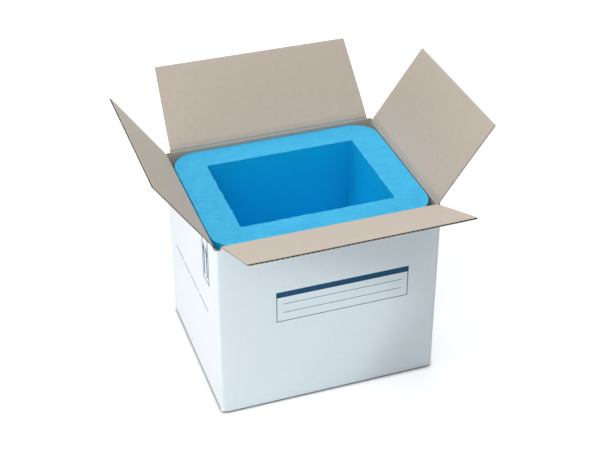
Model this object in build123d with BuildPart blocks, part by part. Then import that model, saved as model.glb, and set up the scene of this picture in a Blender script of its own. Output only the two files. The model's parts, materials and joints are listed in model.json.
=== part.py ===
"""Insulated specimen transport box.

A white corrugated carton of the regular slotted style, with its four top flaps open, stands
round a one-piece rigid foam body that has a deep rectangular payload cavity.

Frame: origin on the ground under the middle of the carton, +X along the long front wall, +Y to
the back, +Z up. Sizes are in millimetres.

The board is modelled in its three papers: a white liner outside, the fluted medium, and a kraft
liner inside. At every score the board is crushed to a mitred edge, and the inner liner is folded
down over it as far as the outer liner, which is where the board hinges.
"""

import os
from math import atan2, ceil, cos, radians, sin, sqrt, tan

from build123d import *

# Corrugated board, C flute
liner_thickness = 0.3
flute_height = 3.0
flute_pitch = 7.8
flute_crest = 2.2  # flat of the medium that is glued to a liner
medium_thickness = 0.3

# Carton, outside sizes
carton_width = 380.0
carton_depth = 309.0
score_height = 335.5  # ground to the hinge line of the long top flaps
corner_inner_radius = 2.0  # upright corner creases
bottom_inner_radius = 0.5  # bottom creases
slot_relief = 4.0  # slot width beyond a rounded corner
slot_overcut = 1.0  # slot depth below the short flaps' score
flap_side_gap = 0.5
nesting_gap = 0.3  # between closed flaps that lie on one another
seam_gap = 0.5  # between the two long flaps when closed
crease_gap = 0.3  # across the crushed score, between wall and flap

# Rest angle of each open top flap, above the level, outwards
flap_angle = {"front": 24.0, "right": 54.5, "back": 39.5, "left": 55.0}

# Manufacturer's joint: a crushed tab of the back wall, glued inside the left wall
tab_thickness = 2.2
tab_end_margin = 14.0
tab_end_taper = 10.0
tab_foam_clearance = 1.0  # to the rounded corner of the foam
joint_slant = 9.0  # how far the back flap's edge above the tab slants in at its free end
joint_slant_start = 6.0  # from the hinge line

# Packing tape along the seam under the carton
tape_width = 48.0
tape_thickness = 0.1
tape_end_margin = 3.0

# Rigid foam body
foam_side_clearance = 2.0
foam_seat_gap = 0.3
foam_lid_clearance = 1.0  # foam rim to the short flaps when they are closed
foam_side_wall = 51.0  # front and back
foam_end_wall = 53.5  # left and right
foam_base = 51.0
foam_corner_radius = 42.0
foam_foot_radius = 3.0
foam_rim_radius = 1.0
cavity_corner_radius = 3.0
cavity_rim_radius = 0.8

# Sizes that follow
board_thickness = flute_height + 2 * liner_thickness
corner_radius = corner_inner_radius + board_thickness
bottom_radius = bottom_inner_radius + board_thickness
slot_width = corner_radius + slot_relief
short_score_height = score_height - board_thickness - nesting_gap
slot_floor = short_score_height - slot_overcut
flap_length = (carton_depth - seam_gap) / 2
crease_setback = crease_gap / sqrt(2)  # along a face, for half the crease gap square to the mitre
folded_liner = liner_thickness * sqrt(2)  # along a face, for one liner lying on the mitre

foam_width = carton_width - 2 * (board_thickness + foam_side_clearance)
foam_depth = carton_depth - 2 * (board_thickness + foam_side_clearance)
foam_seat = 2 * board_thickness + foam_seat_gap
foam_rim = short_score_height - board_thickness - foam_lid_clearance

# The tab is as wide as the room that the foam's rounded corner leaves it
tab_inset = tab_thickness + tab_foam_clearance - foam_side_clearance  # into the foam's outline
tab_reach = foam_corner_radius - sqrt(foam_corner_radius**2 - (foam_corner_radius - tab_inset) ** 2)
tab_width = tab_reach + foam_side_clearance - corner_inner_radius

side_turn = {"front": 0, "right": 90, "back": 180, "left": 270}
long_sides = ("front", "back")
plies = {
    "outer_liner": (0, liner_thickness),
    "medium": (liner_thickness, board_thickness - liner_thickness),
    "inner_liner": (board_thickness - liner_thickness, board_thickness),
}

os.makedirs("parts", exist_ok=True)


def save(part, name):
    """Label a finished piece and write its STEP file."""
    part.label = name
    export_step(part, f"parts/{name}.step")


def wall_length(side):
    """Outside length of a wall, seen from above."""
    return carton_width if side in long_sides else carton_depth


def straight_run(side):
    """Half the stretch of a wall between its two slots, which its flaps hang on."""
    return wall_length(side) / 2 - slot_width


def wall_score(side):
    """Height of the hinge line at the top of a wall."""
    return score_height if side in long_sides else short_score_height


def wall_foot(side):
    """Height of the bottom crease: the short bottom flaps lie on the long ones."""
    return 0 if side in long_sides else board_thickness


def ground_plane(side):
    """Middle of a wall's outer face at the ground: x along the wall, y inwards, z up."""
    turn = radians(side_turn[side])
    reach = (carton_depth if side in long_sides else carton_width) / 2
    return Plane(
        origin=(reach * sin(turn), -reach * cos(turn), 0),
        x_dir=(cos(turn), sin(turn), 0),
        z_dir=(0, 0, 1),
    )


def wall_section_plane(side):
    """Across a wall: x inwards from its outer face, y up from the ground."""
    ground = ground_plane(side)
    return Plane(origin=ground.origin, x_dir=ground.y_dir, z_dir=ground.x_dir)


def flap_direction(side):
    """From the hinge line to the free edge of an open top flap."""
    angle = radians(flap_angle[side])
    return ground_plane(side).y_dir * -cos(angle) + Vector(0, 0, sin(angle))


def flap_section_plane(side):
    """Across a top flap: x from the hinge line to the free edge, y inwards from its outer face."""
    ground = ground_plane(side)
    hinge = ground.origin + Vector(0, 0, wall_score(side))
    return Plane(origin=hinge, x_dir=flap_direction(side), z_dir=-ground.x_dir)


def flap_end_plane(side):
    """Square to a top flap at its hinge line: x along the hinge, y inwards from its outer face."""
    ground = ground_plane(side)
    hinge = ground.origin + Vector(0, 0, wall_score(side))
    return Plane(origin=hinge, x_dir=ground.x_dir, z_dir=flap_direction(side))


def wall_section(side, ply):
    """Section of an upright ply: mitred at the top score, half of the bend at the foot."""
    near, far = plies[ply]
    foot = wall_foot(side)
    mitre_top = wall_score(side) - crease_setback
    top = mitre_top - folded_liner if ply == "medium" else mitre_top
    centre = (bottom_radius, foot + bottom_radius)
    with BuildSketch(wall_section_plane(side)) as section:
        with BuildLine():
            outer_bend = CenterArc(centre, bottom_radius - near, 180, 45)
            inner_bend = CenterArc(centre, bottom_radius - far, 180, 45)
            Polyline(outer_bend @ 0, (near, top - near), (far, top - far), inner_bend @ 0)
            Line(outer_bend @ 1, inner_bend @ 1)
        make_face()
        if ply == "inner_liner":
            with BuildLine():
                Polyline(
                    (liner_thickness, top - liner_thickness),
                    (board_thickness, top - board_thickness),
                    (board_thickness, top - board_thickness - folded_liner),
                    (liner_thickness, top - liner_thickness - folded_liner),
                    close=True,
                )
            make_face()
    return section.sketch


def corner_post_plan(side, ply):
    """Plan of a ply at both ends of a wall, from the slot's edge to the corner's middle."""
    near, far = plies[ply]
    centre = (wall_length(side) / 2 - corner_radius, corner_radius)
    slot_edge = wall_length(side) / 2 - slot_width
    with BuildSketch(ground_plane(side).offset(board_thickness)) as plan:
        with BuildLine():
            outer_bend = CenterArc(centre, corner_radius - near, 270, 45)
            inner_bend = CenterArc(centre, corner_radius - far, 270, 45)
            Polyline(outer_bend @ 0, (slot_edge, near), (slot_edge, far), inner_bend @ 0)
            Line(outer_bend @ 1, inner_bend @ 1)
        make_face()
        mirror(about=Plane.YZ)
    return plan.sketch


def bottom_flap_section(side, ply):
    """Section of a bottom flap's ply: the other half of the bend, then in to the free edge."""
    near, far = plies[ply]
    foot = wall_foot(side)
    centre = (bottom_radius, foot + bottom_radius)
    with BuildSketch(wall_section_plane(side)) as section:
        with BuildLine():
            outer_bend = CenterArc(centre, bottom_radius - near, 225, 45)
            inner_bend = CenterArc(centre, bottom_radius - far, 225, 45)
            Polyline(
                outer_bend @ 1,
                (flap_length, foot + near),
                (flap_length, foot + far),
                inner_bend @ 1,
            )
            Line(outer_bend @ 0, inner_bend @ 0)
        make_face()
    return section.sketch


def top_flap_section(side, ply):
    """Section of a top flap's ply, mitred at the hinge."""
    near, far = plies[ply]
    root = crease_setback
    with BuildSketch(flap_section_plane(side)) as section:
        with BuildLine():
            Polyline(
                (root + near, near),
                (flap_length, near),
                (flap_length, far),
                (root + far, far),
                close=True,
            )
        make_face()
        if ply == "inner_liner":
            with BuildLine():
                Polyline(
                    (root + liner_thickness, liner_thickness),
                    (root + board_thickness, board_thickness),
                    (root + board_thickness + folded_liner, board_thickness),
                    (root + liner_thickness + folded_liner, liner_thickness),
                    close=True,
                )
            make_face()
    return section.sketch


def flute_end_view(side, width):
    """End view of the fluted medium: flat crests on both liners, joined by straight flanks."""
    half_pitch = flute_pitch / 2
    rise = flute_height - medium_thickness
    lean = medium_thickness / 2 * tan(atan2(rise, half_pitch - flute_crest) / 2)
    middle = board_thickness / 2
    corners = (
        (0, -1, 1),
        (flute_crest, -1, -1),
        (half_pitch, 1, -1),
        (half_pitch + flute_crest, 1, 1),
    )
    count = ceil(width / flute_pitch) + 1
    inner_side = []
    outer_side = []
    for flute in range(count):
        start = (flute - count / 2) * flute_pitch
        for along, level, slant in corners:
            height = middle + level * rise / 2
            inner_side.append((start + along + slant * lean, height + medium_thickness / 2))
            outer_side.append((start + along - slant * lean, height - medium_thickness / 2))
    with BuildSketch(flap_end_plane(side)) as end_view:
        with BuildLine():
            Polyline(*inner_side, *reversed(outer_side), close=True)
        make_face()
        with Locations((0, middle)):
            Rectangle(width, flute_height, mode=Mode.INTERSECT)
    return end_view.sketch


def flute_mitre(side):
    """Section of what the crushed score takes off the medium at a top flap's root."""
    root = crease_setback + folded_liner
    with BuildSketch(flap_section_plane(side)) as section:
        with BuildLine():
            Polyline(
                (-root, 0),
                (root, 0),
                (root + board_thickness, board_thickness),
                (-root, board_thickness),
                close=True,
            )
        make_face()
    return section.sketch


def joint_slant_cut(reach):
    """What the slanted edge takes off the back flap, seen square to the flap."""
    ground = ground_plane("back")
    direction = flap_direction("back")
    hinge = ground.origin + Vector(0, 0, wall_score("back"))
    beyond = flap_length + 1
    slope = joint_slant / (flap_length - joint_slant_start)
    square_on = Plane(origin=hinge, x_dir=ground.x_dir, z_dir=ground.x_dir.cross(direction))
    with BuildSketch(square_on) as outline:
        with BuildLine():
            Polyline(
                (reach, joint_slant_start),
                (reach + 1, joint_slant_start),
                (reach + 1, beyond),
                (reach - slope * (beyond - joint_slant_start), beyond),
                close=True,
            )
        make_face()
    return outline.sketch


# Tape under the seam of the long bottom flaps, pressed flush into their outer liner
with BuildPart() as bottom_tape:
    with BuildSketch(Plane.XY):
        Rectangle(carton_width - 2 * (slot_width + tape_end_margin), tape_width)
    extrude(amount=tape_thickness)
save(bottom_tape.part, "bottom_tape")

# Four walls: each paper has a straight stretch between the slots and a post at each corner
for side in side_turn:
    for ply in plies:
        with BuildPart() as wall_ply:
            extrude(wall_section(side, ply), amount=straight_run(side), both=True)
            extrude(corner_post_plan(side, ply), amount=slot_floor - board_thickness)
        save(wall_ply.part, f"{side}_wall_{ply}")

# Four bottom flaps, closed: the short pair lies on the long pair
for side in side_turn:
    for ply in plies:
        with BuildPart() as bottom_ply:
            extrude(bottom_flap_section(side, ply), amount=straight_run(side), both=True)
            if side in long_sides and ply == "outer_liner":
                add(bottom_tape.part, mode=Mode.SUBTRACT)
        save(bottom_ply.part, f"{side}_bottom_flap_{ply}")

# Four top flaps, open. Their medium runs in real flutes, glued crest by crest to both liners.
for side in side_turn:
    reach = straight_run(side) - flap_side_gap
    for ply in ("outer_liner", "inner_liner"):
        with BuildPart() as flap_ply:
            extrude(top_flap_section(side, ply), amount=reach, both=True)
            if side == "back":
                extrude(joint_slant_cut(reach), amount=board_thickness + 1, both=True, mode=Mode.SUBTRACT)
        save(flap_ply.part, f"{side}_flap_{ply}")

    with BuildPart() as fluting:
        extrude(flute_end_view(side, 2 * reach), amount=flap_length)
        extrude(flute_mitre(side), amount=reach + board_thickness, both=True, mode=Mode.SUBTRACT)
        if side == "back":
            extrude(joint_slant_cut(reach), amount=board_thickness + 1, both=True, mode=Mode.SUBTRACT)
    save(fluting.part, f"{side}_flap_fluting")

# Glue tab inside the back left corner, its ends tapered so that they miss the creases
with BuildPart() as glue_tab:
    tab_foot = foam_seat + tab_end_margin
    tab_top = foam_rim - tab_end_margin
    tab_root = carton_depth / 2 - board_thickness - corner_inner_radius
    with BuildSketch(Plane.YZ.offset(board_thickness - carton_width / 2)):
        with BuildLine():
            Polyline(
                (tab_root, tab_foot),
                (tab_root, tab_top),
                (tab_root - tab_width, tab_top - tab_end_taper),
                (tab_root - tab_width, tab_foot + tab_end_taper),
                close=True,
            )
        make_face()
    extrude(amount=tab_thickness)
save(glue_tab.part, "glue_tab")

# Foam body: thick walls, broad rounded corners, and the payload cavity
with BuildPart() as foam_body:
    with BuildSketch(Plane.XY.offset(foam_seat)):
        RectangleRounded(foam_width, foam_depth, foam_corner_radius)
    extrude(amount=foam_rim - foam_seat)
    fillet(foam_body.faces().sort_by(Axis.Z)[0].edges(), radius=foam_foot_radius)
    fillet(foam_body.faces().sort_by(Axis.Z)[-1].edges(), radius=foam_rim_radius)
    with BuildSketch(Plane.XY.offset(foam_rim)):
        RectangleRounded(
            foam_width - 2 * foam_end_wall,
            foam_depth - 2 * foam_side_wall,
            cavity_corner_radius,
        )
    extrude(amount=foam_seat + foam_base - foam_rim, mode=Mode.SUBTRACT)
    cavity_mouth = foam_body.faces().sort_by(Axis.Z)[-1].inner_wires()[0]
    fillet(cavity_mouth.edges(), radius=cavity_rim_radius)
save(foam_body.part, "foam_body")
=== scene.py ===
"""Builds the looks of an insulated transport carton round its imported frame.

A white-faced corrugated carton with four open top flaps stands round a rigid blue foam body.
Each paper of the board is a sheet of its own: it runs up a wall, over the crushed score and out
along the flap, and the flutes between the papers show at every cut edge.
"""

import json
import math

import bpy
import numpy as np
from mathutils import Matrix, Vector, noise


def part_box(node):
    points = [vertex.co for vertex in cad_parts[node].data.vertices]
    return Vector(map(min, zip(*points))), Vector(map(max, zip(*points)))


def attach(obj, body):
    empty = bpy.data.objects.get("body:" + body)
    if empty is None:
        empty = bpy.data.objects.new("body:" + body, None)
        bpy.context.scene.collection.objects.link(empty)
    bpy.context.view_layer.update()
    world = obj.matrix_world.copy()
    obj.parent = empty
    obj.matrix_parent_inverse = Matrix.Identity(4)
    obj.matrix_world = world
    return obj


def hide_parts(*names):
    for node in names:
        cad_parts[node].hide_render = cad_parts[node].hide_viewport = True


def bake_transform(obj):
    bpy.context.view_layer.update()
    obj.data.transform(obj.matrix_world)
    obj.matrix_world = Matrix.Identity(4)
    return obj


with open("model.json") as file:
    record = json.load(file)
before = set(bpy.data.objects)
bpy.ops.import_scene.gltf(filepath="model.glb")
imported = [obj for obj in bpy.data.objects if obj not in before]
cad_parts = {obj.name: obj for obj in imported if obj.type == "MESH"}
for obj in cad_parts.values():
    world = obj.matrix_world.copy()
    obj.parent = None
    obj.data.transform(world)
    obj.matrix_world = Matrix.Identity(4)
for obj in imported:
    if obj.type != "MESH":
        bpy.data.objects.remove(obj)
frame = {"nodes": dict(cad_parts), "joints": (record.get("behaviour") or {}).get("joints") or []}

bl_info = {
    "name": "Insulated Transport Carton",
    "version": (1, 0, 0),
    "blender": (4, 5, 0),
    "location": "View3D > Sidebar > Carton",
    "description": "Builds a corrugated carton with open flaps round a rigid foam body",
    "category": "Add Mesh",
}

MM = 0.001
SIDES = ("front", "right", "back", "left")
LONG_SIDES = ("front", "back")
SIDE_TURN = {"front": 0, "right": 90, "back": 180, "left": 270}
HINGES = {j["child"]: j for j in frame["joints"] if j["type"] == "hinge"}
BOARD_MAP = "board"  # UV map of every sheet: metres along the hinge, metres up from the ground

# Sizes read from the frame
CARTON_WIDTH = 2 * HINGES["right_flap"]["pos_m"][0]
CARTON_DEPTH = 2 * HINGES["back_flap"]["pos_m"][1]
LONG_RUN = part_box("front_bottom_flap_outer_liner")[1].x  # half the wall between its slots
SHORT_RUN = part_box("right_bottom_flap_outer_liner")[1].y
LONG_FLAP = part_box("front_flap_outer_liner")[1].x  # half the flap's width
SHORT_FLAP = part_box("right_flap_outer_liner")[1].y
FOAM_LOW, FOAM_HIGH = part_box("foam_body")
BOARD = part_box("right_bottom_flap_outer_liner")[0].z  # the short bottom flaps lie on the long ones
SHORT_SCORE = HINGES["right_flap"]["pos_m"][2]

# Sizes of the blank and of how it was cut and scored
MEDIUM = 0.3 * MM  # thickness of the fluted paper
SEAM_GAP = 0.5 * MM  # between the free edges of the closed long flaps
SLOT_DROP = 1.0 * MM  # the slots end this far below the short scores
POST_GAP = 0.5 * MM  # under the foot of each corner post
SLANT, SLANT_START = 9.0 * MM, 6.0 * MM  # of the back flap's edge beside the glued joint
SHOULDER_START, SHOULDER_RISE = -4.2 * MM, 2.4 * MM  # where the score's crush sets in
SLOPE_START, SLOPE_RUN = -1.2 * MM, 10.0 * MM  # and where it fades out along the flap
SQUEEZE, SQUEEZE_REACH = 0.95 * MM, 1.8 * MM  # how deep and how far a blade presses a cut edge

# Sizes of the foam, and of how flat its skin and how clean its edges came out
END_WALL, LONG_WALL = 53.5 * MM, 51.0 * MM
SKIN_WAVE, SKIN_RIPPLE = 0.22 * MM, 0.06 * MM
CRUMBLE, CRUMBLE_REACH = 1.4 * MM, 3.0 * MM  # of the cavity's mouth

# Sizes of the patterns in the materials; fibres and foam cells are drawn larger than life
PULP_CLOUD = 12.5 * MM  # where fibres lie thicker in the sheet
FIBRE = 1.111 * MM
COARSE_FIBRE = 1.429 * MM
FOAM_CLOUD = 16.67 * MM  # where the foam swirled as it rose
FOAM_GRAIN = 2.5 * MM  # groups of cells
FOAM_CELL = 1.613 * MM
TAPE_RIPPLE = 8.333 * MM
INK_CREEP = 0.6 * MM  # for the noise's whole swing, so about 0.2 mm to each side

# The darker colour that each finish is flecked with, in sRGB hex
WHITE_FLECK = "#E3ECF1"
KRAFT_FLECK = "#BFB2A5"
MEDIUM_FLECK = "#8C806C"
# The board's core is a darker copy of the fluting's brown, as painted shade for cut edges that sit in
# shadow
SHADED_CORE, SHADED_CORE_FLECK = "#958A78", "#7C705E"
# The rim's colours are a paler copy of the skin's blue, painted as light on the foam's top face
RIM_FLECK = "#37A9D9"
SKIN_FLECK = "#00BBEF"
TAPE, TAPE_FLECK = "#E8E9E4", "#DCDDD2"

# The stage, in metres and degrees
FLOOR_REACH = 6.0
FLOOR_LEVEL = -0.2 * MM
# Painted contact shadow: the dark grey the floor's paint turns to where the carton stands on it
PAINTED_CONTACT_SHADOW = "#4C4A48"  # the floor's paint where the carton stands on it
DOME = "#FAFDFF"
CARTON_MIDDLE = (0, 0, 0.2)
CAMERA_SPOT = (-0.60625, -1.75685, 1.49163)
CAMERA_TURN, CAMERA_RISE, CAMERA_ROLL = -18.82, 34.29, -0.26
CAMERA_LENS, CAMERA_SENSOR = 80.64, 36.0


class BoardSettings(bpy.types.PropertyGroup):
    """Sizes and colours of the corrugated board."""

    thickness: bpy.props.FloatProperty(
        name="Board thickness",
        description="Whole board, liner to liner",
        default=BOARD,
        unit="LENGTH",
    )
    liner: bpy.props.FloatProperty(
        name="Liner thickness",
        description="Each of the two outer papers",
        default=0.3 * MM,
        unit="LENGTH",
    )
    flute_pitch: bpy.props.FloatProperty(
        name="Flute pitch",
        description="From one flute to the next, C flute",
        default=7.8 * MM,
        unit="LENGTH",
    )
    corner_radius: bpy.props.FloatProperty(
        name="Upright corner radius",
        description="Outer radius of the upright creases",
        default=BOARD + 2.0 * MM,
        unit="LENGTH",
    )
    bottom_radius: bpy.props.FloatProperty(
        name="Bottom crease radius",
        description="Outer radius of the bottom creases",
        default=BOARD + 0.5 * MM,
        unit="LENGTH",
    )
    fold_radius: bpy.props.FloatProperty(
        name="Score fold radius",
        description="Radius of the white liner inside an opened score",
        default=2.4 * MM,
        unit="LENGTH",
    )
    score_crush: bpy.props.FloatProperty(
        name="Score crush",
        description="How far the score presses the kraft liner in",
        default=1.5 * MM,
        unit="LENGTH",
    )
    white: bpy.props.StringProperty(
        name="White liner colour", description="sRGB hex", default="#E9F1F6"
    )
    kraft: bpy.props.StringProperty(
        name="Kraft liner colour", description="sRGB hex", default="#C7BCAE"
    )
    medium: bpy.props.StringProperty(
        name="Fluting colour", description="sRGB hex", default="#A89C88"
    )
    ink: bpy.props.StringProperty(
        name="Print colour", description="sRGB hex", default="#00466B"
    )


class FoamSettings(bpy.types.PropertyGroup):
    """Sizes and colours of the foam body."""

    corner_radius: bpy.props.FloatProperty(
        name="Outer corner radius",
        description="Upright corners of the body",
        default=45.5 * MM,
        unit="LENGTH",
    )
    cavity_width: bpy.props.FloatProperty(
        name="Cavity width",
        description="Inside, along the front",
        default=2 * (FOAM_HIGH.x - END_WALL),
        unit="LENGTH",
    )
    cavity_depth: bpy.props.FloatProperty(
        name="Cavity depth",
        description="Inside, front to back",
        default=2 * (FOAM_HIGH.y - LONG_WALL),
        unit="LENGTH",
    )
    floor_thickness: bpy.props.FloatProperty(
        name="Floor thickness",
        description="Foam under the payload",
        default=51.0 * MM,
        unit="LENGTH",
    )
    # A paler copy of the skin's blue, painted as light on the foam's top face
    rim: bpy.props.StringProperty(
        name="Rim colour", description="sRGB hex, the sawn face", default="#44B6E3"
    )
    skin: bpy.props.StringProperty(
        name="Skin colour", description="sRGB hex, the moulded faces", default="#00C1F6"
    )


class StageSettings(bpy.types.PropertyGroup):
    """Light and floor."""

    dome: bpy.props.FloatProperty(
        name="Dome strength", description="Light from all round", default=0.286, subtype="FACTOR"
    )
    front: bpy.props.FloatProperty(
        name="Front softbox", description="High in front", default=16.0, unit="POWER"
    )
    left: bpy.props.FloatProperty(
        name="Left softbox", description="High on the left", default=14.7, unit="POWER"
    )
    back: bpy.props.FloatProperty(
        name="Back softbox", description="High behind", default=25.7, unit="POWER"
    )
    low_left: bpy.props.FloatProperty(
        name="Low left strip", description="Beside the left wall", default=5.6, unit="POWER"
    )
    low_front: bpy.props.FloatProperty(
        name="Low front softbox",
        description="Gridded, before the front wall",
        default=0.118,
        unit="POWER",
    )
    cavity: bpy.props.FloatProperty(
        name="Cavity softbox",
        description="Gridded, from the left into the foam's cavity",
        default=0.024,
        unit="POWER",
    )
    floor: bpy.props.StringProperty(
        name="Floor colour", description="sRGB hex", default="#EEEFF0"
    )


def linear(colour, alpha=1.0):
    """An sRGB hex colour as linear RGBA."""
    channels = [int(colour.lstrip("#")[i : i + 2], 16) / 255 for i in (0, 2, 4)]
    return [c / 12.92 if c <= 0.04045 else ((c + 0.055) / 1.055) ** 2.4 for c in channels] + [alpha]


def add(tree, kind, inputs=None, **settings):
    """Adds a node: settings are its own, and each input is a value or the socket that feeds it."""
    made = tree.nodes.new(kind)
    for name, value in settings.items():
        setattr(made, name, value)
    for key, value in (inputs or {}).items():
        if isinstance(value, bpy.types.NodeSocket):
            tree.links.new(value, made.inputs[key])
        else:
            made.inputs[key].default_value = value
    return made


def new_material(name):
    """An empty material: its node tree and its output."""
    material = bpy.data.materials.new(name)
    material.use_nodes = True
    material.node_tree.nodes.clear()
    output = material.node_tree.nodes.new("ShaderNodeOutputMaterial")
    return material, material.node_tree, output


def board_coordinates(tree, mapped):
    """Coordinates in metres: along the hinge and up on a mapped sheet, else the CAD node's own."""
    if mapped:
        return add(tree, "ShaderNodeUVMap", uv_map=BOARD_MAP).outputs["UV"]
    return add(tree, "ShaderNodeTexCoord").outputs["Object"]


def printed_marks(tree, place, marks):
    """1 inside any of the printed marks, else 0."""
    # The edge of the ink creeps along the fibres
    creep = add(tree, "ShaderNodeTexNoise", {"Vector": place, "Scale": 1 / FIBRE, "Detail": 1.0})
    shift = add(
        tree,
        "ShaderNodeVectorMath",
        {0: creep.outputs["Color"], 1: (0.5, 0.5, 0.5)},
        operation="SUBTRACT",
    )
    small = add(
        tree, "ShaderNodeVectorMath", {0: shift.outputs[0], "Scale": INK_CREEP}, operation="SCALE"
    )
    moved = add(tree, "ShaderNodeVectorMath", {0: place, 1: small.outputs[0]}, operation="ADD")
    parts = add(tree, "ShaderNodeSeparateXYZ", {0: moved.outputs[0]})
    x, y = parts.outputs["X"], parts.outputs["Y"]
    total = None
    for shape, along, up, width, height in marks:
        half, reach = height / 2, width / 2
        if shape == "arrowhead":
            # Half its width at its foot, none at its tip
            reach = add(
                tree, "ShaderNodeMapRange", {0: y, 1: up - half, 2: up + half, 3: reach, 4: 0.0}
            ).outputs[0]
        across = add(tree, "ShaderNodeMath", {0: x, 1: along, 2: reach}, operation="COMPARE")
        upright = add(tree, "ShaderNodeMath", {0: y, 1: up, 2: half}, operation="COMPARE")
        inside = add(
            tree, "ShaderNodeMath", {0: across.outputs[0], 1: upright.outputs[0]}, operation="MULTIPLY"
        )
        if total is not None:
            inside = add(
                tree, "ShaderNodeMath", {0: total, 1: inside.outputs[0]}, operation="MAXIMUM"
            )
        total = inside.outputs[0]
    return total


def paper_material(name, colour, fleck, flute_axis, mapped, settings, marks=None):
    """Kraft paper, smoothed between rolls and glued over flutes; marks are printed on it."""
    # The rolls leave an even, matt sheet with next to no sheen, faint clouds of pulp and short
    # fibres, and the flutes below show as soft lines
    material, tree, output = new_material(name)
    place = board_coordinates(tree, mapped)
    parts = add(tree, "ShaderNodeSeparateXYZ", {0: place})
    # Flutes press through the liner as soft lines, one flute pitch apart
    angle = add(
        tree,
        "ShaderNodeMath",
        {0: parts.outputs[flute_axis], 1: 2 * math.pi / settings.flute_pitch},
        operation="MULTIPLY",
    )
    flute = add(tree, "ShaderNodeMath", {0: angle.outputs[0]}, operation="SINE")
    cloud = add(
        tree,
        "ShaderNodeTexNoise",
        {"Vector": place, "Scale": 1 / PULP_CLOUD, "Detail": 4.0, "Roughness": 0.6},
    )
    # Fibres are 3 mm long and 0.03 mm thick; they are drawn 1 mm thick so that they show
    stretch = add(
        tree, "ShaderNodeVectorMath", {0: place, 1: (0.35, 1.0, 1.0)}, operation="MULTIPLY"
    )
    fibre = add(
        tree,
        "ShaderNodeTexNoise",
        {"Vector": stretch.outputs[0], "Scale": 1 / FIBRE, "Detail": 3.0, "Roughness": 0.7},
    )
    tone = add(
        tree, "ShaderNodeMath", {0: cloud.outputs["Fac"], 1: fibre.outputs["Fac"]}, operation="ADD"
    )
    shade = add(tree, "ShaderNodeMapRange", {0: tone.outputs[0], 1: 0.6, 2: 1.4, 3: 0.0, 4: 1.0})
    ribbed = add(
        tree,
        "ShaderNodeMath",
        {0: flute.outputs[0], 1: 0.06, 2: shade.outputs[0]},
        operation="MULTIPLY_ADD",
    )
    base = add(
        tree,
        "ShaderNodeMix",
        {0: ribbed.outputs[0], 6: linear(fleck), 7: linear(colour)},
        data_type="RGBA",
    ).outputs[2]
    rough = add(
        tree, "ShaderNodeMapRange", {0: fibre.outputs["Fac"], 1: 0.3, 2: 0.7, 3: 0.58, 4: 0.72}
    ).outputs[0]
    if marks:
        ink = printed_marks(tree, place, marks)
        # Flexographic ink on an uncoated face leaves a fine mottle
        cover = add(
            tree, "ShaderNodeMapRange", {0: fibre.outputs["Fac"], 1: 0.3, 2: 0.6, 3: 0.98, 4: 1.0}
        )
        amount = add(tree, "ShaderNodeMath", {0: ink, 1: cover.outputs[0]}, operation="MULTIPLY")
        base = add(
            tree,
            "ShaderNodeMix",
            {0: amount.outputs[0], 6: base, 7: linear(settings.ink)},
            data_type="RGBA",
        ).outputs[2]
    height = add(
        tree,
        "ShaderNodeMath",
        {0: fibre.outputs["Fac"], 1: 0.10, 2: flute.outputs[0]},
        operation="MULTIPLY_ADD",
    )
    bump = add(
        tree, "ShaderNodeBump", {"Height": height.outputs[0], "Strength": 0.5, "Distance": 0.06 * MM}
    )
    shader = add(
        tree,
        "ShaderNodeBsdfPrincipled",
        {
            "Base Color": base,
            "Roughness": rough,
            "IOR": 1.5,
            "Specular IOR Level": 0.25,
            "Normal": bump.outputs[0],
        },
    )
    tree.links.new(shader.outputs[0], output.inputs["Surface"])
    return material


def medium_material(name, fleck, colour):
    """Semi-chemical fluting medium, from short hardwood fibres and not smoothed."""
    # The coarse fibres leave it brown, speckled and quite matt. Real ones are 1 mm long and much
    # thinner; they are drawn as coarse specks so that they show
    material, tree, output = new_material(name)
    place = add(tree, "ShaderNodeTexCoord").outputs["Object"]
    fibre = add(
        tree,
        "ShaderNodeTexNoise",
        {"Vector": place, "Scale": 1 / COARSE_FIBRE, "Detail": 4.0, "Roughness": 0.7},
    )
    base = add(
        tree,
        "ShaderNodeMix",
        {0: fibre.outputs["Fac"], 6: linear(fleck), 7: linear(colour)},
        data_type="RGBA",
    )
    bump = add(
        tree, "ShaderNodeBump", {"Height": fibre.outputs["Fac"], "Strength": 0.5, "Distance": 0.1 * MM}
    )
    shader = add(
        tree,
        "ShaderNodeBsdfPrincipled",
        {"Base Color": base.outputs[2], "Roughness": 0.85, "IOR": 1.5, "Normal": bump.outputs[0]},
    )
    tree.links.new(shader.outputs[0], output.inputs["Surface"])
    return material


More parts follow.
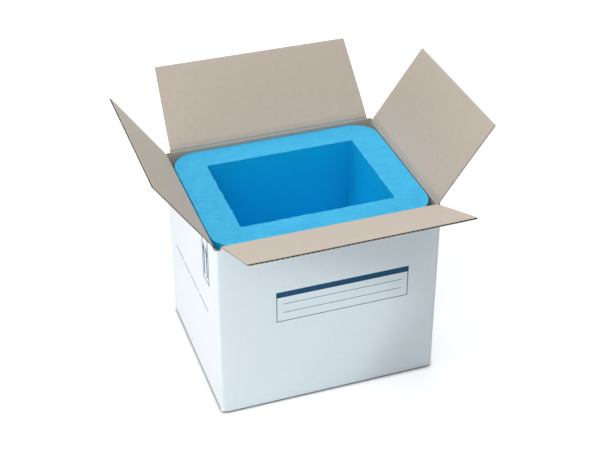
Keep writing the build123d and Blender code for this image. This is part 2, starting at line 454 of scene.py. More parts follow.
def foam_material(settings):
    """Rigid polyurethane foam, dyed blue: moulded faces with a closed skin, and a top face painted paler
    as light.
    """
    # The skin is a deep, even, softly matt blue, and the top face a pale, grainy copy of it as painted
    # light
    material, tree, output = new_material("rigid_polyurethane_foam_moulded")
    place = add(tree, "ShaderNodeTexCoord").outputs["Object"]
    # Closed cells are 0.3 mm across; they are drawn 1.6 mm across so that they show
    cells = add(
        tree, "ShaderNodeTexVoronoi", {"Vector": place, "Scale": 1 / FOAM_CELL, "Randomness": 1.0}
    )
    cloud = add(
        tree,
        "ShaderNodeTexNoise",
        {"Vector": place, "Scale": 1 / FOAM_CLOUD, "Detail": 5.0, "Roughness": 0.6},
    )
    grain = add(
        tree,
        "ShaderNodeTexNoise",
        {"Vector": place, "Scale": 1 / FOAM_GRAIN, "Detail": 3.0, "Roughness": 0.7},
    )
    mottle = add(
        tree, "ShaderNodeMath", {0: cloud.outputs["Fac"], 1: grain.outputs["Fac"]}, operation="ADD"
    )
    tone = add(tree, "ShaderNodeMapRange", {0: mottle.outputs[0], 1: 0.8, 2: 1.2, 3: 0.0, 4: 1.0})
    painted_lit_top = add(
        tree,
        "ShaderNodeMix",
        {0: tone.outputs[0], 6: linear(RIM_FLECK), 7: linear(settings.rim)},
        data_type="RGBA",
    )
    skin = add(
        tree,
        "ShaderNodeMix",
        {0: tone.outputs[0], 6: linear(SKIN_FLECK), 7: linear(settings.skin)},
        data_type="RGBA",
    )
    # Painted shade: the skin is darkened by up to 16 percent where the cavity's corners close in round
    # it
    corners = add(
        tree, "ShaderNodeAmbientOcclusion", {"Distance": 80 * MM}, samples=8, only_local=True
    )
    painted_corner_shade = add(
        tree, "ShaderNodeMapRange", {0: corners.outputs["AO"], 1: 0.5, 2: 0.95, 3: 0.84, 4: 1.0}
    )
    moulded = add(
        tree, "ShaderNodeVectorMath", {0: skin.outputs[2], "Scale": painted_corner_shade.outputs[0]}, operation="SCALE"
    )
    # Painted light: the top face, and the last 2 mm of edge below it, fade to a paler copy of the blue
    # than the skin below
    height = add(tree, "ShaderNodeSeparateXYZ", {0: place})
    skin_top, rim_foot = FOAM_HIGH.z - 2.0 * MM, FOAM_HIGH.z - 0.6 * MM
    on_rim = add(
        tree, "ShaderNodeMapRange", {0: height.outputs["Z"], 1: skin_top, 2: rim_foot, 3: 0, 4: 1}
    )
    base = add(
        tree,
        "ShaderNodeMix",
        {0: on_rim.outputs[0], 6: moulded.outputs[0], 7: painted_lit_top.outputs[2]},
        data_type="RGBA",
    )
    relief = add(
        tree,
        "ShaderNodeMath",
        {0: cells.outputs["Distance"], 1: 0.6, 2: mottle.outputs[0]},
        operation="MULTIPLY_ADD",
    )
    bump = add(
        tree, "ShaderNodeBump", {"Height": relief.outputs[0], "Strength": 0.4, "Distance": 0.4 * MM}
    )
    shader = add(
        tree,
        "ShaderNodeBsdfPrincipled",
        {
            "Base Color": base.outputs[2],
            "Roughness": 0.75,
            "IOR": 1.45,
            "Specular IOR Level": 0.2,
            "Normal": bump.outputs[0],
        },
    )
    tree.links.new(shader.outputs[0], output.inputs["Surface"])
    return material


def tape_material():
    """Packing tape of stretched polypropylene film, pressed down by hand."""
    # The clear film has a wet gloss, broken by ripples, and its glue a faint yellow
    material, tree, output = new_material("polypropylene_tape_clear")
    place = add(tree, "ShaderNodeTexCoord").outputs["Object"]
    ripple = add(
        tree, "ShaderNodeTexNoise", {"Vector": place, "Scale": 1 / TAPE_RIPPLE, "Detail": 2.0}
    )
    base = add(
        tree,
        "ShaderNodeMix",
        {0: ripple.outputs["Fac"], 6: linear(TAPE_FLECK), 7: linear(TAPE)},
        data_type="RGBA",
    )
    bump = add(
        tree, "ShaderNodeBump", {"Height": ripple.outputs["Fac"], "Strength": 0.4, "Distance": 0.3 * MM}
    )
    shader = add(
        tree,
        "ShaderNodeBsdfPrincipled",
        {"Base Color": base.outputs[2], "Roughness": 0.18, "IOR": 1.49, "Normal": bump.outputs[0]},
    )
    tree.links.new(shader.outputs[0], output.inputs["Surface"])
    return material


def mesh_piece(name, points, faces, coordinates=None, crease_angle=35):
    """A piece from its points and faces, shaded smooth but for its creases."""
    mesh = bpy.data.meshes.new(name)
    points = np.asarray(points)
    used = np.unique(np.concatenate([np.asarray(f) for f in faces]))
    renumber = np.full(len(points), -1)
    renumber[used] = np.arange(len(used))
    mesh.from_pydata(points[used].tolist(), [], [[int(renumber[i]) for i in f] for f in faces])
    if coordinates is not None:
        flat = np.asarray(coordinates)[used]
        corners = np.empty(len(mesh.loops), np.int32)
        mesh.loops.foreach_get("vertex_index", corners)
        layer = mesh.uv_layers.new(name=BOARD_MAP)
        layer.uv.foreach_set("vector", flat[corners].astype(np.float32).ravel())
    mesh.validate()
    mesh.shade_smooth()
    mesh.set_sharp_from_angle(angle=math.radians(crease_angle))
    piece = bpy.data.objects.new(name, mesh)
    bpy.context.scene.collection.objects.link(piece)
    return piece


# How far each flap has set off its plane towards its kraft side, in mm: at five places along its
# free edge, and how much its two side edges bow between hinge and free edge
FLAP_SET = {
    "front": ((-1.8, -2.2, -1.7, -1.3, -0.6), (0.0, 0.45)),
    "right": ((0.6, -0.3, -0.5, -0.4, -0.2), (0.55, 0.0)),
    "back": ((-2.1, -1.6, -1.2, -0.8, -0.3), (0.0, 0.0)),
    "left": ((0.2, 0.3, 0.4, 0.5, 0.6), (0.0, 0.0)),
}


def ease(share):
    """From 0 to 1 with no sudden start or stop."""
    share = np.clip(share, 0, 1)
    return share * share * (3 - 2 * share)


class BoardPanel:
    """One wall of the carton and the top flap that hangs on it, as one bent board."""

    def __init__(self, side, board):
        turn = math.radians(SIDE_TURN[side])
        hinge = HINGES[side + "_flap"]
        self.side = side
        self.board = board
        self.is_long = side in LONG_SIDES
        self.half_wall = (CARTON_WIDTH if self.is_long else CARTON_DEPTH) / 2
        self.half_run = LONG_RUN if self.is_long else SHORT_RUN
        self.half_flap = LONG_FLAP if self.is_long else SHORT_FLAP
        self.along = np.array([math.cos(turn), math.sin(turn), 0.0])
        self.inward = np.array([-math.sin(turn), math.cos(turn), 0.0])
        self.hinge = np.array(hinge["pos_m"], float)
        self.foot = 0.0 if self.is_long else board.thickness
        self.open_angle = math.radians(180 + hinge["range_deg"][0])
        self.turn = math.pi / 2 - self.open_angle  # from the wall's line to the flap's
        self.tangent = board.fold_radius * math.tan(self.turn / 2)
        self.half_arc = board.fold_radius * self.turn / 2
        self.flap_length = (CARTON_DEPTH - SEAM_GAP) / 2
        self.free_edge = self.flap_length - self.tangent + self.half_arc
        self.bend_top = self.foot + board.bottom_radius - self.hinge[2]
        self.bend_end = self.bend_top - board.bottom_radius * math.pi / 4
        self.slot_floor = SHORT_SCORE - SLOT_DROP - self.hinge[2]
        self.post_foot = board.thickness + POST_GAP - self.hinge[2]

    def place(self, across, up, depth):
        """Points of the board: along the hinge, up from the score, deep from the white face."""
        board = self.board
        across, up, depth = np.broadcast_arrays(
            np.asarray(across, float), np.asarray(up, float), np.asarray(depth, float)
        )
        if self.side == "back":
            # The edge above the glued joint slants in towards the free edge
            out = np.clip((up - SLANT_START) / (self.free_edge - SLANT_START), 0, None)
            across = across - SLANT * out * np.maximum(across, 0) / self.half_flap
        lean = np.clip((up + self.half_arc) / board.fold_radius, 0, self.turn)
        beyond = np.maximum(up - self.half_arc, 0)
        below = np.minimum(up + self.half_arc, 0)
        # The middle of the fold's arc lies outside the wall
        out = board.fold_radius * (np.cos(lean) - 1) - beyond * math.sin(self.turn)
        rise = board.fold_radius * np.sin(lean) + beyond * math.cos(self.turn)
        rise = rise + below - self.tangent
        # The score presses the kraft side in: a steep shoulder below the fold, a long slope above
        pressed = np.clip((depth - board.liner) / (board.thickness - 2 * board.liner), 0, 1)
        shoulder = ease((up - SHOULDER_START) / SHOULDER_RISE)
        slope = 1 - ease((up - SLOPE_START) / SLOPE_RUN)
        crush = board.score_crush * pressed * shoulder * slope
        crush = np.where(np.abs(across) > self.half_flap + 0.01 * MM, 0, crush)
        # The slotting blade squeezes the flap's cut sides, and the slitter its free edge, but less
        to_side = np.maximum(self.half_flap - np.abs(across), 0)
        above_score = np.clip(up / (6 * MM), 0, 1)
        by_side = above_score * np.exp(-to_side / SQUEEZE_REACH)
        by_edge = 0.5 * np.exp(-np.maximum(self.free_edge - up, 0) / SQUEEZE_REACH)
        blade = SQUEEZE * np.maximum(by_side, by_edge)
        pinch = 1 - 2 * depth / board.thickness
        deep = depth - crush + blade * pinch + self.warp(across, beyond)
        inwards = out + deep * np.cos(lean)
        height = rise + deep * np.sin(lean)
        # Bottom crease, down to the middle of its bend
        bend = np.clip((self.bend_top - up) / board.bottom_radius, 0, math.pi / 4)
        radius = board.bottom_radius - depth
        in_bend = up < self.bend_top
        inwards = np.where(in_bend, board.bottom_radius - radius * np.cos(bend), inwards)
        height = np.where(in_bend, self.bend_top - radius * np.sin(bend), height)
        # Upright corners, where the board turns into the next wall
        start = self.half_wall - board.corner_radius
        round_by = np.clip((np.abs(across) - start) / board.corner_radius, 0, math.pi / 2)
        past = np.maximum(np.abs(across) - start - board.corner_radius * math.pi / 2, 0)
        in_corner = np.abs(across) > start
        corner = board.corner_radius - depth
        sideways = np.where(
            in_corner, np.sign(across) * (start + corner * np.sin(round_by)), across
        )
        turned_in = board.corner_radius - corner * np.cos(round_by) + past
        inwards = np.where(in_corner, turned_in, inwards)
        return (
            self.hinge
            + sideways[..., None] * self.along
            + inwards[..., None] * self.inward
            + height[..., None] * np.array([0, 0, 1.0])
        )

    def warp(self, across, beyond):
        """How far the opened flap stands off its plane, towards the kraft side."""
        edge, bows = FLAP_SET[self.side]
        place = np.clip(across / self.half_flap, -1, 1)
        share = beyond / self.flap_length
        level = np.polyval(np.polyfit(np.linspace(-1, 1, 5), edge, 4), place)
        bow = bows[0] * ease(-place) + bows[1] * ease(place)
        return (share**2 * level + 4 * share * (1 - share) * bow) * MM

    def columns(self):
        """Stations along the hinge, close together where the board is cut or turns."""
        edge = np.array([0, 0.8, 2.0, 4.0]) * MM
        inner = np.linspace(0, self.half_flap - 8 * MM, 20)
        half = np.concatenate([inner, self.half_flap - edge[::-1], [self.half_run]])
        if self.is_long:
            start = self.half_wall - self.board.corner_radius
            arc = start + self.board.corner_radius * np.linspace(0, math.pi / 2, 13)
            half = np.concatenate([half, arc, [arc[-1] + 4 * MM]])
        return np.unique(np.round(np.concatenate([-half, half]), 7))

    def rows(self):
        """Stations up the wall, over the score and out to the free edge."""
        bend = np.linspace(self.bend_end, self.bend_top, 5)
        wall = np.linspace(max(self.bend_top, self.post_foot), self.slot_floor, 30)
        above = np.linspace(self.slot_floor, min(-self.half_arc, self.slot_floor + 4 * MM), 4)
        fold = np.linspace(-self.half_arc, self.half_arc, 14)
        shoulder = np.array([-4.6, -4.2, -3.8, -3.4, -3.0, -2.6, -2.2, -1.8, -1.3]) * MM
        crushed = self.half_arc + np.array([0.6, 1.3, 2.0, 2.8, 3.6, 4.5, 5.5, 6.8, 9.0, 13.0]) * MM
        flap = np.linspace(self.half_arc + 18 * MM, self.free_edge - 6 * MM, 18)
        edge = self.free_edge - np.array([3.0, 1.4, 0.5, 0]) * MM
        stations = np.concatenate(
            [bend, [self.post_foot], wall, above, shoulder, fold, crushed, flap, edge]
        )
        return np.unique(np.round(stations, 7))

    def is_board(self, across, up):
        """Whether there is board there, or a slot."""
        if abs(across) < self.half_flap:
            return True
        if abs(across) < self.half_run:
            return up < self.slot_floor
        return self.post_foot < up < self.slot_floor

    def sheet(self, name, near, far):
        """One paper of the board, between two depths, as a closed thin shell."""
        across, up = self.columns(), self.rows()
        grid_across, grid_up = np.meshgrid(across, up)
        flat_across, flat_up = grid_across.ravel(), grid_up.ravel()
        points = np.concatenate(
            [self.place(flat_across, flat_up, near), self.place(flat_across, flat_up, far)]
        )
        wide, layer = len(across), len(flat_up)
        keep = np.array(
            [
                [
                    self.is_board((across[j] + across[j + 1]) / 2, (up[i] + up[i + 1]) / 2)
                    for j in range(wide - 1)
                ]
                for i in range(len(up) - 1)
            ]
        )
        faces = []
        for i, j in zip(*np.nonzero(keep)):
            a = i * wide + j
            corners = (a, a + 1, a + wide + 1, a + wide)
            faces.append(corners)
            faces.append(tuple(layer + c for c in reversed(corners)))
            neighbours = ((i - 1, j), (i, j + 1), (i + 1, j), (i, j - 1))
            for edge, (ni, nj) in enumerate(neighbours):
                inside = 0 <= ni < keep.shape[0] and 0 <= nj < keep.shape[1] and keep[ni, nj]
                if not inside:
                    p, q = corners[edge], corners[(edge + 1) % 4]
                    faces.append((q, p, layer + p, layer + q))
        height = flat_up + self.hinge[2]
        coordinates = np.tile(np.stack([flat_across, height], 1), (2, 1))
        return mesh_piece(name, points, faces, coordinates)

    def fluting(self, name):
        """The medium: a wave of flutes from the score to the free edge."""
        board = self.board
        reach = self.half_flap - 0.1 * MM
        count = int(round(2 * reach / (board.flute_pitch / 12)))
        across = np.linspace(-reach, reach, count + 1)
        phase = 2 * math.pi * across / board.flute_pitch
        # The flanks are steeper and the crests flatter than a sine's, and just clear of the liners
        steeper, crest, clear = 0.12, 0.9, 0.97
        wave = np.sin(phase) + steeper * np.sin(3 * phase)
        slope = np.cos(phase) + 3 * steeper * np.cos(3 * phase)
        slope = slope * 2 * math.pi / board.flute_pitch
        half_height = (board.thickness - 2 * board.liner - MEDIUM) / 2 * clear
        level = board.thickness / 2 + half_height * wave / crest
        lowest = board.liner + MEDIUM / 2
        level = np.clip(level, lowest, board.thickness - lowest)
        tilt = slope * half_height
        norm = np.sqrt(1 + tilt**2)
        shift_across, shift_depth = -tilt / norm * MEDIUM / 2, 1 / norm * MEDIUM / 2
        upper = np.stack([across + shift_across, level + shift_depth], 1)
        lower = np.stack([across - shift_across, level - shift_depth], 1)
        loop = np.concatenate([lower, upper[::-1]])
        ends = np.concatenate(
            [
                self.half_arc + np.array([5.5, 9.0, 14.0]) * MM,
                np.linspace(self.half_arc + 24 * MM, self.free_edge - 3 * MM, 9),
                [self.free_edge - 0.25 * MM],
            ]
        )
        points = np.concatenate([self.place(loop[:, 0], v, loop[:, 1]) for v in ends])
        around = len(loop)
        faces = []
        for row in range(len(ends) - 1):
            for k in range(around):
                a, b = row * around + k, row * around + (k + 1) % around
                faces.append((a, b, b + around, a + around))
        last = (len(ends) - 1) * around
        for k in range(count):
            mirror = around - 1 - k
            faces.append((k + 1, k, mirror, mirror - 1))
            faces.append((last + k, last + k + 1, last + mirror - 1, last + mirror))
        return mesh_piece(name, points, faces, crease_angle=60)

    def blend(self, piece):
        """Bakes a sheet's placement into its points."""
        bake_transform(piece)


# What is printed: a write-on panel in front, and a broken rule and an upright mark on the left.
# Each mark is (shape, middle along, middle up, width, height) in metres
FRONT_MARKS = (
    ("bar", 0.022, 0.222, 0.229, 0.011),
    ("bar", -0.0915, 0.198, 0.0014, 0.058),
    ("bar", 0.1355, 0.198, 0.0014, 0.058),
    ("bar", 0.022, 0.1690, 0.229, 0.0014),
    ("bar", 0.022, 0.2030, 0.205, 0.0010),
    ("bar", 0.022, 0.1860, 0.205, 0.0010),
)
LEFT_MARKS = (
    ("bar", -0.083, 0.172, 0.046, 0.0024),
    ("bar", -0.036, 0.172, 0.036, 0.0024),
    ("bar", 0.012, 0.172, 0.048, 0.0024),
    ("bar", 0.068, 0.172, 0.052, 0.0024),
    ("bar", 0.078, 0.277, 0.0040, 0.088),
    ("bar", 0.110, 0.277, 0.0040, 0.088),
    ("bar", 0.094, 0.235, 0.0360, 0.0030),
    ("bar", 0.094, 0.3195, 0.0360, 0.0030),
    ("bar", 0.0868, 0.2665, 0.0060, 0.046),
    ("bar", 0.1012, 0.2665, 0.0060, 0.046),
    ("arrowhead", 0.0868, 0.2985, 0.0126, 0.019),
    ("arrowhead", 0.1012, 0.2985, 0.0126, 0.019),
)


def rounded_contour(half_x, half_y, radius):
    """Points round a rectangle with rounded corners, always as many and in the same order."""
    points = []
    for turn in range(4):
        start = turn * math.pi / 2
        swap = turn % 2
        sx, sy = (half_y, half_x) if swap else (half_x, half_y)
        # One quarter: half of a side, its corner, and half of the next side, turned into place
        local = [(sx, y) for y in np.linspace(0, sy - radius, 56)[:-1]]
        local += [
            (sx - radius + radius * math.cos(a), sy - radius + radius * math.sin(a))
            for a in np.linspace(0, math.pi / 2, 19)
        ]
        local += [(x, sy) for x in np.linspace(sx - radius, 0, 56)[1:-1]]
        c, s = round(math.cos(start)), round(math.sin(start))
        points += [(c * x - s * y, s * x + c * y) for x, y in local]
    return np.array(points)


def foam_mesh(name, settings):
    """The foam body: its foot, walls, rim and cavity as one skin of matching rings."""
    half_x, half_y = FOAM_HIGH.x, FOAM_HIGH.y
    low, high = FOAM_LOW.z, FOAM_HIGH.z
    floor = low + settings.floor_thickness
    inner_corner = 3.0 * MM
    foot, edge, mouth, floor_edge = 3.0 * MM, 1.0 * MM, 0.8 * MM, 2.0 * MM  # radii
    rings = []

    def outer(inset, level):
        flat = rounded_contour(half_x - inset, half_y - inset, settings.corner_radius - inset)
        rings.append(np.column_stack([flat, np.full(len(flat), level)]))

    def inner(inset, level):
        flat = rounded_contour(
            settings.cavity_width / 2 - inset,
            settings.cavity_depth / 2 - inset,
            inner_corner - inset,
        )
        rings.append(np.column_stack([flat, np.full(len(flat), level)]))

    quarter = np.linspace(0, math.pi / 2, 5)
    outer(foot, low)
    for a in quarter[1:]:
        outer(foot * (1 - math.sin(a)), low + foot * (1 - math.cos(a)))
    for share in np.linspace(0, 1, 34)[1:-1]:
        outer(0, low + foot + (high - edge - low - foot) * (1 - (1 - share) ** 2))
    for a in quarter:
        outer(edge * (1 - math.cos(a)), high - edge * (1 - math.sin(a)))
    rim_outer = rings[-1]
    inner(-mouth, high)
    rim_inner = rings.pop()
    for share in np.linspace(0, 1, 21)[1:]:
        rings.append(rim_outer * (1 - share) + rim_inner * share)
    for a in quarter[1:]:
        inner(-mouth * (1 - math.sin(a)), high - mouth * (1 - math.cos(a)))
    for share in np.linspace(0, 1, 56)[1:]:
        inner(0, high - mouth - (high - mouth - floor - floor_edge) * share**1.5)
    for a in quarter[1:]:
        inner(floor_edge * (1 - math.cos(a)), floor + floor_edge * (1 - math.sin(a)))
    around = len(rings[0])
    points = np.concatenate(rings)
    # Cast skin is never quite flat: it has soft waves and a fine ripple. The cavity's mouth has
    # crumbled a little, so its edge wanders by about a millimetre
    half_mouth = np.array([settings.cavity_width, settings.cavity_depth]) / 2
    for point in points:
        place = Vector(point)
        point += SKIN_WAVE * np.array(noise.noise_vector(place * 28))
        point += SKIN_RIPPLE * np.array(noise.noise_vector(place * 160))
        from_mouth = max(np.max(np.abs(point[:2]) - half_mouth), 0) + (high - point[2])
        if point[2] > floor + 20 * MM and from_mouth < 12 * MM:
            coarse, fine = (np.array(noise.noise_vector(place * s)) for s in (110, 300))
            wander = coarse + 0.5 * fine
            point[:2] += CRUMBLE * math.exp(-from_mouth / CRUMBLE_REACH) * wander[:2]
    faces = [tuple(reversed(range(around)))]
    for row in range(len(rings) - 1):
        for k in range(around):
            a, b = row * around + k, row * around + (k + 1) % around
            faces.append((a, b, b + around, a + around))
    last = (len(rings) - 1) * around
    faces.append(tuple(range(last, last + around)))
    return mesh_piece(name, points, faces, crease_angle=50)


def shows_backdrop(tree):
    """1 for a ray that looks at the backdrop, straight, in a gloss or through a clear film."""
    path = add(tree, "ShaderNodeLightPath")
    mirrored = add(
        tree,
        "ShaderNodeMath",
        {0: path.outputs["Is Camera Ray"], 1: path.outputs["Is Glossy Ray"]},
        operation="MAXIMUM",
    )
    through = add(
        tree,
        "ShaderNodeMath",
        {0: mirrored.outputs[0], 1: path.outputs["Is Transmission Ray"]},
        operation="MAXIMUM",
    )
    return through.outputs[0]


def floor_material(settings):
    """Studio floor, rolled with white emulsion paint."""
    # The paint is plain, pale and matt; the floor looks white, keeps the carton's shadow and has a
    # painted contact shadow under the board
    material, tree, output = new_material("painted_floor_white")
    looked_at = shows_backdrop(tree)
    # Painted contact shadow: where the spot under the board is closed in, the paint darkens towards a
    # dark grey and the lift fades
    opening = add(
        tree, "ShaderNodeAmbientOcclusion", {"Distance": 10 * MM}, samples=8, only_local=False
    )
    shade = add(
        tree, "ShaderNodeMapRange", {0: opening.outputs["AO"], 1: 0.22, 2: 0.90, 3: 0.0, 4: 1.0}
    )
    painted_shadow_tint = add(
        tree,
        "ShaderNodeMix",
        {0: shade.outputs[0], 6: linear(PAINTED_CONTACT_SHADOW), 7: linear(settings.floor)},
        data_type="RGBA",
    )
    paint = add(tree, "ShaderNodeBsdfDiffuse", {"Color": painted_shadow_tint.outputs[2], "Roughness": 0.5})
    lift = add(tree, "ShaderNodeMath", {0: looked_at, 1: shade.outputs[0]}, operation="MULTIPLY")
    # Far from the softboxes the floor dims, so the lift rises to plain white there
    reach = add(
        tree,
        "ShaderNodeVectorMath",
        {0: add(tree, "ShaderNodeTexCoord").outputs["Object"]},
        operation="LENGTH",
    )
    rise = add(
        tree, "ShaderNodeMapRange", {0: reach.outputs["Value"], 1: 0.9, 2: 3.0, 3: 0.40, 4: 1.0}
    )
    strength = add(
        tree, "ShaderNodeMath", {0: lift.outputs[0], 1: rise.outputs[0]}, operation="MULTIPLY"
    )
    glow = add(tree, "ShaderNodeEmission", {"Strength": strength.outputs[0]})
    both = add(tree, "ShaderNodeAddShader", {0: paint.outputs[0], 1: glow.outputs[0]})
    tree.links.new(both.outputs[0], output.inputs["Surface"])
    return material


def lay_floor(scene, settings):
    """The studio floor, just under the carton."""
    mesh = bpy.data.meshes.new("studio_floor")
    corners = [(-1, -1), (1, -1), (1, 1), (-1, 1)]
    mesh.from_pydata(
        [(x * FLOOR_REACH, y * FLOOR_REACH, FLOOR_LEVEL) for x, y in corners], [], [(0, 1, 2, 3)]
    )
    floor = bpy.data.objects.new("studio_floor", mesh)
    scene.collection.objects.link(floor)
    floor.data.materials.append(floor_material(settings))


def light_dome(scene, settings):
    """A dim dome that lights the carton from all round and itself shows plain white."""
    world = bpy.data.worlds.new("studio_dome")
    scene.world = world
    world.use_nodes = True
    tree = world.node_tree
    tree.nodes.clear()
    looked_at = shows_backdrop(tree)
    soft = add(tree, "ShaderNodeBackground", {"Color": linear(DOME), "Strength": settings.dome})
    white = add(tree, "ShaderNodeBackground", {"Color": (1, 1, 1, 1), "Strength": 1.0})
    chosen = add(
        tree, "ShaderNodeMixShader", {0: looked_at, 1: soft.outputs[0], 2: white.outputs[0]}
    )
    sky = tree.nodes.new("ShaderNodeOutputWorld")
    tree.links.new(chosen.outputs[0], sky.inputs["Surface"])


def around(turn, rise, distance):
    """The place at so many degrees round from the front and up, as seen from the carton."""
    turn, rise = math.radians(turn), math.radians(rise)
    flat = distance * math.cos(rise)
    height = CARTON_MIDDLE[2] + distance * math.sin(rise)
    return (math.sin(turn) * flat, -math.cos(turn) * flat, height)


def hang_softbox(scene, name, spot, size, power, colour, aim=CARTON_MIDDLE, spread=180, roll=0):
    """A softbox; a grid narrows its spread, in degrees, and roll turns it about its aim."""
    light = bpy.data.lights.new(name, "AREA")
    light.shape = "RECTANGLE"
    light.size, light.size_y = size
    light.spread = math.radians(spread)
    light.energy = power
    light.color = linear(colour)[:3]
    lamp = bpy.data.objects.new(name, light)
    lamp.location = spot
    facing = (Vector(aim) - Vector(spot)).to_track_quat("-Z", "Y").to_matrix()
    lamp.rotation_euler = (facing @ Matrix.Rotation(math.radians(roll), 3, "Z")).to_euler()
    lamp.visible_camera = False
    scene.collection.objects.link(lamp)


def hang_lights(scene, settings):
    """Three large softboxes, a low strip and two small gridded softboxes."""
    large = (1.6, 1.6)
    hang_softbox(scene, "front_softbox", around(-8, 57, 2.3), large, settings.front, "#FAFEFF")
    hang_softbox(scene, "left_softbox", around(-85, 55, 2.3), large, settings.left, "#FFFBF8")
    hang_softbox(scene, "back_softbox", around(165, 50, 2.3), large, settings.back, "#FFFFFE")
    hang_softbox(
        scene, "low_left_strip", around(-78, 1, 1.2), (0.7, 0.7), settings.low_left, "#FFF4F0"
    )
    # Rolled, so that its light ends along a slanted line across the right of the front wall
    hang_softbox(
        scene,
        "low_front_gridded_softbox",
        (-0.156, -1.18, 0.350),
        (0.50, 0.36),
        settings.low_front,
        "#EFFEFF",
        aim=(-0.156, -0.155, 0.132),
        spread=7.5,
        roll=-28.4,
    )
    # Picks out the right wall of the foam's cavity against the back one
    hang_softbox(
        scene,
        "cavity_gridded_softbox",
        around(-80, 40, 1.7),
        (0.22, 0.22),
        settings.cavity,
        "#FFFFFF",
        aim=(0.13, 0.02, 0.22),
        spread=9,
    )


def place_camera(scene):
    """A long lens, above the front left corner."""
    turn, rise, roll = (math.radians(a) for a in (CAMERA_TURN, CAMERA_RISE, CAMERA_ROLL))
    back = Vector(
        (math.sin(turn) * math.cos(rise), -math.cos(turn) * math.cos(rise), math.sin(rise))
    )
    right = Vector((math.cos(turn), math.sin(turn), 0))
    up = back.cross(right)
    turned_right = right * math.cos(roll) + up * math.sin(roll)
    turned_up = up * math.cos(roll) - right * math.sin(roll)
    rotation = Matrix((turned_right, turned_up, back)).transposed()
    camera = bpy.data.cameras.new("camera")
    camera.sensor_width = CAMERA_SENSOR
    camera.lens = CAMERA_LENS
    eye = bpy.data.objects.new("camera", camera)
    eye.matrix_world = Matrix.Translation(CAMERA_SPOT) @ rotation.to_4x4()
    scene.collection.objects.link(eye)
    scene.camera = eye


class CARTON_OT_stage(bpy.types.Operator):
    """Sets the floor, the lights, the world and the camera"""

    bl_idname = "carton.stage"
    bl_label = "Stage"

    def execute(self, context):
        scene = context.scene
        scene.view_settings.view_transform = "Standard"
        lay_floor(scene, scene.carton_stage)
        light_dome(scene, scene.carton_stage)
        hang_lights(scene, scene.carton_stage)
        place_camera(scene)
        return {"FINISHED"}


class CARTON_OT_liners(bpy.types.Operator):
    """Makes the white and the kraft liner of each wall and its flap"""

    bl_idname = "carton.liners"
    bl_label = "Liners"

    def execute(self, context):
        board = context.scene.carton_board
        plain = ("white_top_kraftliner_calendered", None)
        printed = {
            "front": ("white_top_kraftliner_printed_front", FRONT_MARKS),
            "left": ("white_top_kraftliner_printed_left", LEFT_MARKS),
        }
        white = {
            name: paper_material(name, board.white, WHITE_FLECK, "X", True, board, marks)
            for name, marks in (plain, *printed.values())
        }
        kraft = paper_material(
            "kraft_testliner_machine_finished", board.kraft, KRAFT_FLECK, "X", True, board
        )
        for side in SIDES:
            panel = BoardPanel(side, board)
            outer = panel.sheet(side + "_white_liner", 0.0, board.liner)
            finish = printed.get(side, plain)[0]
            outer.data.materials.append(white[finish])
            panel.blend(outer)
            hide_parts(side + "_wall_outer_liner", side + "_flap_outer_liner")
            kraft_depth = board.thickness - board.liner
            inner = panel.sheet(side + "_kraft_liner", kraft_depth, board.thickness)
            inner.data.materials.append(kraft)
            panel.blend(inner)
            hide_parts(side + "_wall_inner_liner", side + "_flap_inner_liner")
        return {"FINISHED"}


class CARTON_OT_fluting(bpy.types.Operator):
    """Makes the fluted medium of each top flap"""

    bl_idname = "carton.fluting"
    bl_label = "Fluting"

    def execute(self, context):
        board = context.scene.carton_board
        brown = medium_material("fluting_medium_semichemical", MEDIUM_FLECK, board.medium)
        for side in SIDES:
            flutes = BoardPanel(side, board).fluting(side + "_flap_flutes")
            flutes.data.materials.append(brown)
            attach(flutes, side + "_flap")
            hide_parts(side + "_flap_fluting")
        return {"FINISHED"}


class CARTON_OT_foam(bpy.types.Operator):
    """Makes the foam body"""

    bl_idname = "carton.foam"
    bl_label = "Foam body"

    def execute(self, context):
        settings = context.scene.carton_foam
        body = foam_mesh("foam_block", settings)
        body.data.materials.append(foam_material(settings))
        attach(body, "foam")
        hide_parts("foam_body")
        return {"FINISHED"}


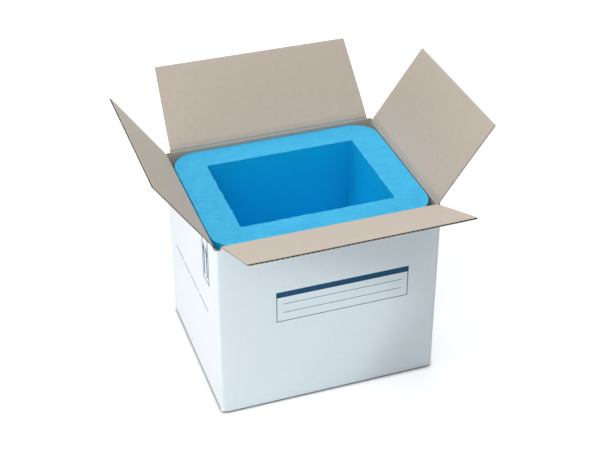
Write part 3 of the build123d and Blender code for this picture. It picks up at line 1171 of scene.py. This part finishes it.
class CARTON_OT_frame_parts(bpy.types.Operator):
    """Gives the carton's remaining frame parts their finishes"""

    bl_idname = "carton.frame_parts"
    bl_label = "Frame parts"

    def execute(self, context):
        board = context.scene.carton_board
        finishes = {
            "outer_liner": ("white_top_kraftliner_across_", board.white, WHITE_FLECK),
            "inner_liner": ("kraft_testliner_across_", board.kraft, KRAFT_FLECK),
        }
        papers = {
            (paper, axis): paper_material(start + axis, colour, fleck, axis, False, board)
            for paper, (start, colour, fleck) in finishes.items()
            for axis in "XY"
        }
        # The frame parts' cores get the darker copy of the fluting's brown, as painted shade
        core = medium_material("board_core_semichemical", SHADED_CORE_FLECK, SHADED_CORE)
        tape = tape_material()
        for name, node in frame["nodes"].items():
            if node.hide_render or name == "foam_body":
                continue
            axis = "X" if name.split("_")[0] in LONG_SIDES else "Y"
            if name == "bottom_tape":
                material = tape
            elif name == "glue_tab":
                material = papers["inner_liner", "Y"]
            elif name.endswith("medium"):
                material = core
            else:
                # The name of a bottom flap's paper ends in outer_liner or inner_liner
                material = papers[name.split("_", 3)[3], axis]
            node.data.materials.clear()
            node.data.materials.append(material)
        return {"FINISHED"}


STEPS = (
    CARTON_OT_stage,
    CARTON_OT_liners,
    CARTON_OT_fluting,
    CARTON_OT_foam,
    CARTON_OT_frame_parts,
)


class CARTON_PT_panel(bpy.types.Panel):
    """Lists the steps and the settings of the carton"""

    bl_idname = "CARTON_PT_panel"
    bl_label = "Insulated Transport Carton"
    bl_space_type = "VIEW_3D"
    bl_region_type = "UI"
    bl_category = "Carton"

    def draw(self, context):
        for step in STEPS:
            self.layout.operator(step.bl_idname)
        scene = context.scene
        for group in (scene.carton_board, scene.carton_foam, scene.carton_stage):
            box = self.layout.box()
            for name in group.__annotations__:
                box.prop(group, name)


CLASSES = (BoardSettings, FoamSettings, StageSettings, *STEPS, CARTON_PT_panel)


def register():
    for cls in CLASSES:
        bpy.utils.register_class(cls)
    bpy.types.Scene.carton_board = bpy.props.PointerProperty(type=BoardSettings)
    bpy.types.Scene.carton_foam = bpy.props.PointerProperty(type=FoamSettings)
    bpy.types.Scene.carton_stage = bpy.props.PointerProperty(type=StageSettings)


def unregister():
    del bpy.types.Scene.carton_stage
    del bpy.types.Scene.carton_foam
    del bpy.types.Scene.carton_board
    for cls in reversed(CLASSES):
        bpy.utils.unregister_class(cls)


def main():
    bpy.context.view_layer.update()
    register()
    bpy.ops.carton.stage()
    bpy.ops.carton.liners()
    bpy.ops.carton.fluting()
    bpy.ops.carton.foam()
    bpy.ops.carton.frame_parts()


if __name__ == "__main__":
    main()
